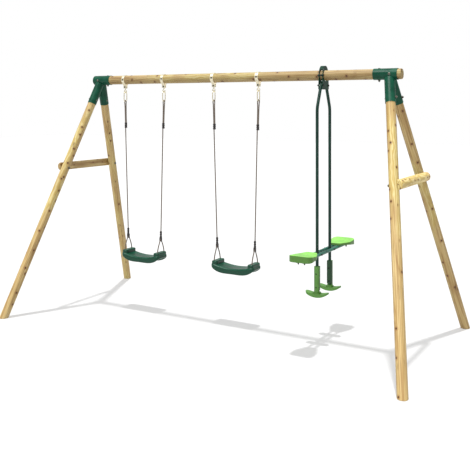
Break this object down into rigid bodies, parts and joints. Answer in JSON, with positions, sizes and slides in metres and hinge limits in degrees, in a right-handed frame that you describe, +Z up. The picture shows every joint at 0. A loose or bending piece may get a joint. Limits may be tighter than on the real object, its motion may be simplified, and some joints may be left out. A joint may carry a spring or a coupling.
{
  "type": "swing set",
  "caption": "garden swing set: round timber beam on splayed A-frames, rope swings with moulded seats and a face-to-face glider hung from tubes",
  "frame": {"origin": "on the ground, under the middle of the set's bounding box", "axes": "+X along the beam towards the glider, +Y to the back of the set (its shorter way), +Z up"},
  "size_m": [3.7482, 1.8568, 2.2395],
  "materials": {
    "timber": "turned softwood pole, oiled, with knots",
    "green_bracket": "dark green gloss powder coat",
    "green_tube": "very dark green gloss powder coat",
    "teal_tube": "mid green gloss powder coat",
    "zinc_steel": "bright zinc plate",
    "bolt_steel": "zinc plate",
    "dark_steel": "black",
    "nylon": "natural nylon",
    "black_plastic": "moulded black plastic",
    "rope": "braided brown-grey polyester rope",
    "green_plastic": "dark green, satin",
    "lime_plastic": "lime green, satin"
  },
  "bodies": {
    "frame": {"beam": "timber", "brace_screws": "bolt_steel", "bracket_bolts": "bolt_steel", "corner_bracket_left": "green_bracket", "corner_bracket_right": "green_bracket", "cross_brace_left": "timber", "cross_brace_right": "timber", "glider_bracket": "green_bracket", "glider_clamp_bolts": "dark_steel", "glider_clamp_spacers": "zinc_steel", "glider_pivot_bolts": "bolt_steel", "glider_pivot_bushes": "nylon", "hanger_bolts": "dark_steel", "hanger_rings": "zinc_steel", "hanger_straps": "zinc_steel", "leg_back_left": "timber", "leg_back_right": "timber", "leg_front_left": "timber", "leg_front_right": "timber", "strap_screws": "dark_steel"},
    "glider_rear": {"footrest_bolts_back": "bolt_steel", "footrest_inner_back": "green_plastic", "footrest_outer_back": "lime_plastic", "glider_bar_bolt_back": "bolt_steel", "glider_upright_back": "green_tube"},
    "glider_front": {"footrest_bolts_front": "bolt_steel", "footrest_inner_front": "green_plastic", "footrest_outer_front": "lime_plastic", "glider_upright_front": "green_tube"},
    "glider_bar": {"glider_bar_bolt_front": "bolt_steel", "glider_seat_back": "lime_plastic", "glider_seat_bars": "teal_tube", "glider_seat_bolts": "dark_steel", "glider_seat_front": "lime_plastic"},
    "swing_1": {"swing_1_adjusters": "black_plastic", "swing_1_junctions": "black_plastic", "swing_1_rope_left": "rope", "swing_1_rope_right": "rope", "swing_1_snap_hooks": "zinc_steel"},
    "swing_1_gate_left": {"swing_1_gate_left": "zinc_steel"},
    "swing_1_gate_right": {"swing_1_gate_right": "zinc_steel"},
    "swing_1_seat_body": {"swing_1_knots": "rope", "swing_1_seat": "green_plastic", "swing_1_seat_rope_left": "rope", "swing_1_seat_rope_right": "rope"},
    "swing_2": {"swing_2_adjusters": "black_plastic", "swing_2_junctions": "black_plastic", "swing_2_rope_left": "rope", "swing_2_rope_right": "rope", "swing_2_snap_hooks": "zinc_steel"},
    "swing_2_gate_left": {"swing_2_gate_left": "zinc_steel"},
    "swing_2_gate_right": {"swing_2_gate_right": "zinc_steel"},
    "swing_2_seat_body": {"swing_2_knots": "rope", "swing_2_seat": "green_plastic", "swing_2_seat_rope_left": "rope", "swing_2_seat_rope_right": "rope"}
  },
  "joints": [
    {"name": "swing_1_hinge", "type": "hinge", "parent": "frame", "child": "swing_1", "pos_m": [-0.931, 0, 2.037], "axis": [1, 0, 0], "range_deg": [-60, 60]},
    {"name": "swing_1_seat_hinge", "type": "hinge", "parent": "swing_1", "child": "swing_1_seat_body", "pos_m": [-0.931, 0, 0.656], "axis": [1, 0, 0], "range_deg": [-20, 20]},
    {"name": "swing_1_gate_left_hinge", "type": "hinge", "parent": "swing_1", "child": "swing_1_gate_left", "pos_m": [-1.157, 0.0205, 1.981], "axis": [1, 0, 0], "range_deg": [0, 25], "stiffness_Nm_per_rad": 0.05, "springref_deg": -8.59},
    {"name": "swing_1_gate_right_hinge", "type": "hinge", "parent": "swing_1", "child": "swing_1_gate_right", "pos_m": [-0.705, 0.0205, 1.981], "axis": [1, 0, 0], "range_deg": [0, 25], "stiffness_Nm_per_rad": 0.05, "springref_deg": -8.59},
    {"name": "swing_2_hinge", "type": "hinge", "parent": "frame", "child": "swing_2", "pos_m": [0.066, 0, 2.037], "axis": [1, 0, 0], "range_deg": [-60, 60]},
    {"name": "swing_2_seat_hinge", "type": "hinge", "parent": "swing_2", "child": "swing_2_seat_body", "pos_m": [0.066, 0, 0.656], "axis": [1, 0, 0], "range_deg": [-20, 20]},
    {"name": "swing_2_gate_left_hinge", "type": "hinge", "parent": "swing_2", "child": "swing_2_gate_left", "pos_m": [-0.16, 0.0205, 1.981], "axis": [1, 0, 0], "range_deg": [0, 25], "stiffness_Nm_per_rad": 0.05, "springref_deg": -8.59},
    {"name": "swing_2_gate_right_hinge", "type": "hinge", "parent": "swing_2", "child": "swing_2_gate_right", "pos_m": [0.292, 0.0205, 1.981], "axis": [1, 0, 0], "range_deg": [0, 25], "stiffness_Nm_per_rad": 0.05, "springref_deg": -8.59},
    {"name": "glider_front_hinge", "type": "hinge", "parent": "frame", "child": "glider_front", "pos_m": [0.898, -0.054, 2.078], "axis": [1, 0, 0], "range_deg": [-25, 25]},
    {"name": "glider_rear_hinge", "type": "hinge", "parent": "frame", "child": "glider_rear", "pos_m": [0.898, 0.054, 2.078], "axis": [1, 0, 0], "range_deg": [-25.01, 25.01]},
    {"name": "glider_bar_hinge", "type": "hinge", "parent": "glider_front", "child": "glider_bar", "pos_m": [0.898, -0.13, 0.717], "axis": [1, 0, 0], "range_deg": [-11, 11]}
  ],
  "couplings": [
    {"joint": "glider_rear_hinge", "follows": "glider_front_hinge", "ratio": 1},
    {"joint": "glider_bar_hinge", "follows": "glider_front_hinge", "ratio": -0.414}
  ]
}
